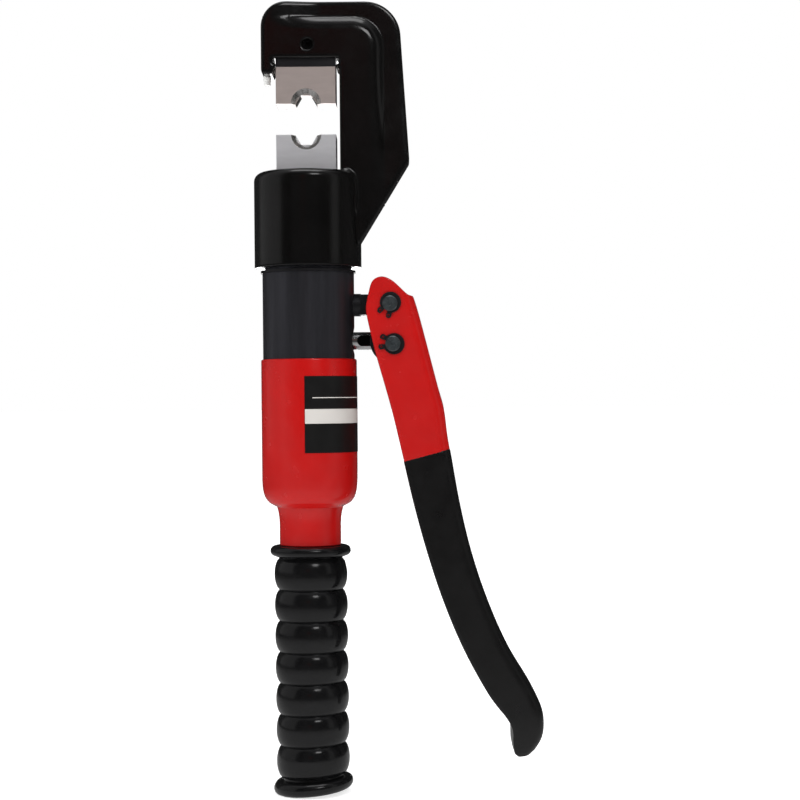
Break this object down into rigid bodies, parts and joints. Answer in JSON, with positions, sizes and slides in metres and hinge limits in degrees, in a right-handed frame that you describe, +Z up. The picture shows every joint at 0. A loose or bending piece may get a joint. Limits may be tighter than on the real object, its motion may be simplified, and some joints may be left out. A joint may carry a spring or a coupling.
{
  "type": "hydraulic crimping tool",
  "caption": "Hand-pumped hydraulic crimping tool with a C-shaped head, two exchangeable dies, an oil-filled handle and a pump lever.",
  "frame": {"origin": "centre of the grip's flat end face", "axes": "+Z up the ram axis towards the head, +X towards the pump lever and the C frame's arm, +Y to the side of the release lever"},
  "size_m": [0.1116, 0.0516, 0.31],
  "materials": {
    "gloss_black": "gloss black stoved paint",
    "satin_black": "satin black",
    "black_oxide": "blackened steel",
    "pin_steel": "dark blued steel",
    "red_paint": "gloss red powder coat",
    "die_steel": "ground nickel-plated steel",
    "ground_steel": "fine ground",
    "bright_zinc": "bright zinc plate",
    "plain_steel": "machined",
    "ball_steel": "polished",
    "spring_steel": "drawn wire",
    "brass": "machined",
    "seal_rubber": "smooth",
    "seal_plastic": "smooth",
    "grip_rubber": "glossy moulded",
    "dipped_vinyl": "semi-gloss dipped",
    "label_film": "printed film"
  },
  "bodies": {
    "pump": {"pump_body": "satin_black", "head_washer": "black_oxide", "head_o_ring": "seal_rubber", "body_spring_eye": "plain_steel", "suction_filter": "brass", "suction_seat": "plain_steel", "suction_spring": "spring_steel", "delivery_spring": "spring_steel", "delivery_plug": "plain_steel", "plunger_seal": "seal_rubber", "plunger_gland": "brass", "relief_ball": "ball_steel", "relief_spring": "spring_steel", "relief_screw": "black_oxide", "release_cartridge": "plain_steel", "release_bracket": "black_oxide", "release_lever_pin": "plain_steel", "pivot_lug": "black_oxide", "handle_casing": "red_paint", "casing_o_ring": "seal_rubber", "label": "label_film", "handle_tube": "plain_steel", "rubber_grip": "grip_rubber", "end_plug": "plain_steel", "oil_bladder": "seal_rubber", "bladder_clamp": "plain_steel", "filler_plug": "brass"},
    "head": {"c_head": "gloss_black", "die_seat_plate": "black_oxide", "upper_die": "die_steel", "upper_die_screw": "black_oxide", "lip_set_screw": "bright_zinc", "ram_wiper_ring": "seal_rubber"},
    "ram": {"ram_piston": "ground_steel", "ram_seal": "seal_rubber", "ram_backup_ring": "seal_plastic", "ram_spring_eye": "plain_steel", "return_spring": "spring_steel", "lower_die": "die_steel", "lower_die_ball": "ball_steel", "lower_die_ball_spring": "spring_steel", "lower_die_ball_screw": "black_oxide"},
    "lever": {"lever_channel": "red_paint", "lever_grip": "dipped_vinyl", "fulcrum_pin": "pin_steel", "plunger_pin": "pin_steel", "pin_circlips": "black_oxide", "lug_spacers": "black_oxide", "eye_spacers": "black_oxide"},
    "pump_plunger": {"plunger": "ground_steel", "plunger_eye": "black_oxide"},
    "release_thumb_lever": {"release_lever": "black_oxide"},
    "release_valve": {"release_stem": "ground_steel", "release_ball": "ball_steel", "release_spring": "spring_steel"},
    "suction_valve": {"suction_ball": "ball_steel"},
    "delivery_valve": {"delivery_ball": "ball_steel"}
  },
  "joints": [
    {"name": "head_swivel", "type": "hinge", "parent": "pump", "child": "head", "pos_m": [0, 0, 0.212], "axis": [0, 0, 1], "range_deg": [-90, 90]},
    {"name": "ram_slide", "type": "slide", "parent": "head", "child": "ram", "axis": [0, 0, 1], "range_m": [0, 0.012], "stiffness_N_per_m": 4000, "springref_m": -0.01, "deforming": ["return_spring"]},
    {"name": "lever_pivot", "type": "hinge", "parent": "pump", "child": "lever", "pos_m": [0.0321, 0, 0.1914], "axis": [0, 1, 0], "range_deg": [-30, 17]},
    {"name": "plunger_slide", "type": "slide", "parent": "pump", "child": "pump_plunger", "axis": [-1, 0, 0], "range_m": [-0.008, 0.0046]},
    {"name": "release_press", "type": "hinge", "parent": "pump", "child": "release_thumb_lever", "pos_m": [0, 0.021, 0.1986], "axis": [-1, 0, 0], "range_deg": [0, 6], "stiffness_Nm_per_rad": 0.4, "springref_deg": -5.73},
    {"name": "release_valve_slide", "type": "slide", "parent": "pump", "child": "release_valve", "axis": [0, -1, 0], "range_m": [0, 0.0009]},
    {"name": "suction_lift", "type": "slide", "parent": "pump", "child": "suction_valve", "axis": [0, 0, 1], "range_m": [0, 0.0008], "stiffness_N_per_m": 60, "springref_m": -0.002, "deforming": ["suction_spring"]},
    {"name": "delivery_lift", "type": "slide", "parent": "pump", "child": "delivery_valve", "axis": [0, 0, 1], "range_m": [0, 0.0008], "stiffness_N_per_m": 60, "springref_m": -0.002, "deforming": ["delivery_spring"]}
  ],
  "couplings": [
    {"joint": "plunger_slide", "follows": "lever_pivot", "m_per_rad": 0.015},
    {"joint": "release_valve_slide", "follows": "release_press", "m_per_rad": 0.0083}
  ]
}
